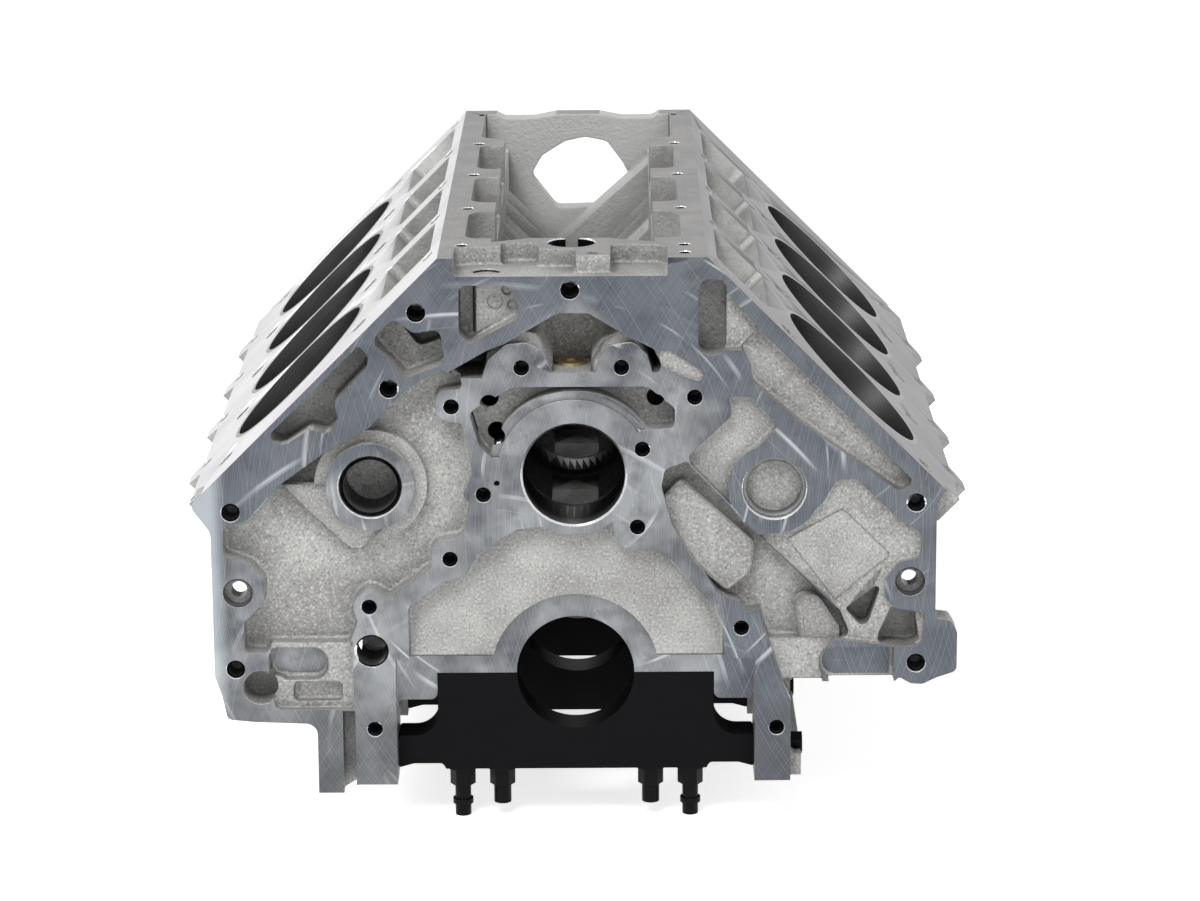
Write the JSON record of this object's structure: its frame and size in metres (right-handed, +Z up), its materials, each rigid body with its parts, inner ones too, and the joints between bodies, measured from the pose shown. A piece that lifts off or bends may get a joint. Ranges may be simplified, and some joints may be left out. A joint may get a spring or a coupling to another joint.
{
  "type": "engine block",
  "caption": "Bare aluminium V engine block with deep skirts, pressed-in iron liners, an open lifter valley and black billet main caps on studs.",
  "frame": {"origin": "on the crankshaft axis, half way along the front main bearing", "axes": "+Y along the crankshaft towards the rear, +Z up, +X to the right seen from the front"},
  "size_m": [0.4684, 0.516, 0.347],
  "materials": {
    "cast_aluminium": "sand-cast skin, with milled faces and bored holes bright",
    "honed_iron": "honed bore, top edge milled with the deck",
    "cap_steel": "black oxide on milled steel",
    "black_steel": "black oxide",
    "plug_steel": "bright pressed or turned steel"
  },
  "bodies": {
    "root": {"block_casting": "cast_aluminium", "liner_right_1": "honed_iron", "liner_right_2": "honed_iron", "liner_right_3": "honed_iron", "liner_right_4": "honed_iron", "core_plugs_right": "plug_steel", "cross_bolts_right": "black_steel", "bell_housing_dowel_right": "plug_steel", "liner_left_1": "honed_iron", "liner_left_2": "honed_iron", "liner_left_3": "honed_iron", "liner_left_4": "honed_iron", "core_plugs_left": "plug_steel", "cross_bolts_left": "black_steel", "bell_housing_dowel_left": "plug_steel", "main_cap_1": "cap_steel", "main_cap_2": "cap_steel", "main_cap_3": "cap_steel", "main_cap_4": "cap_steel", "main_cap_5": "cap_steel", "main_studs_inner": "black_steel", "main_nuts_inner": "black_steel", "main_washers_inner": "black_steel", "main_studs_outer": "black_steel", "main_nuts_outer": "black_steel", "main_washers_outer": "black_steel"}
  },
  "joints": []
}
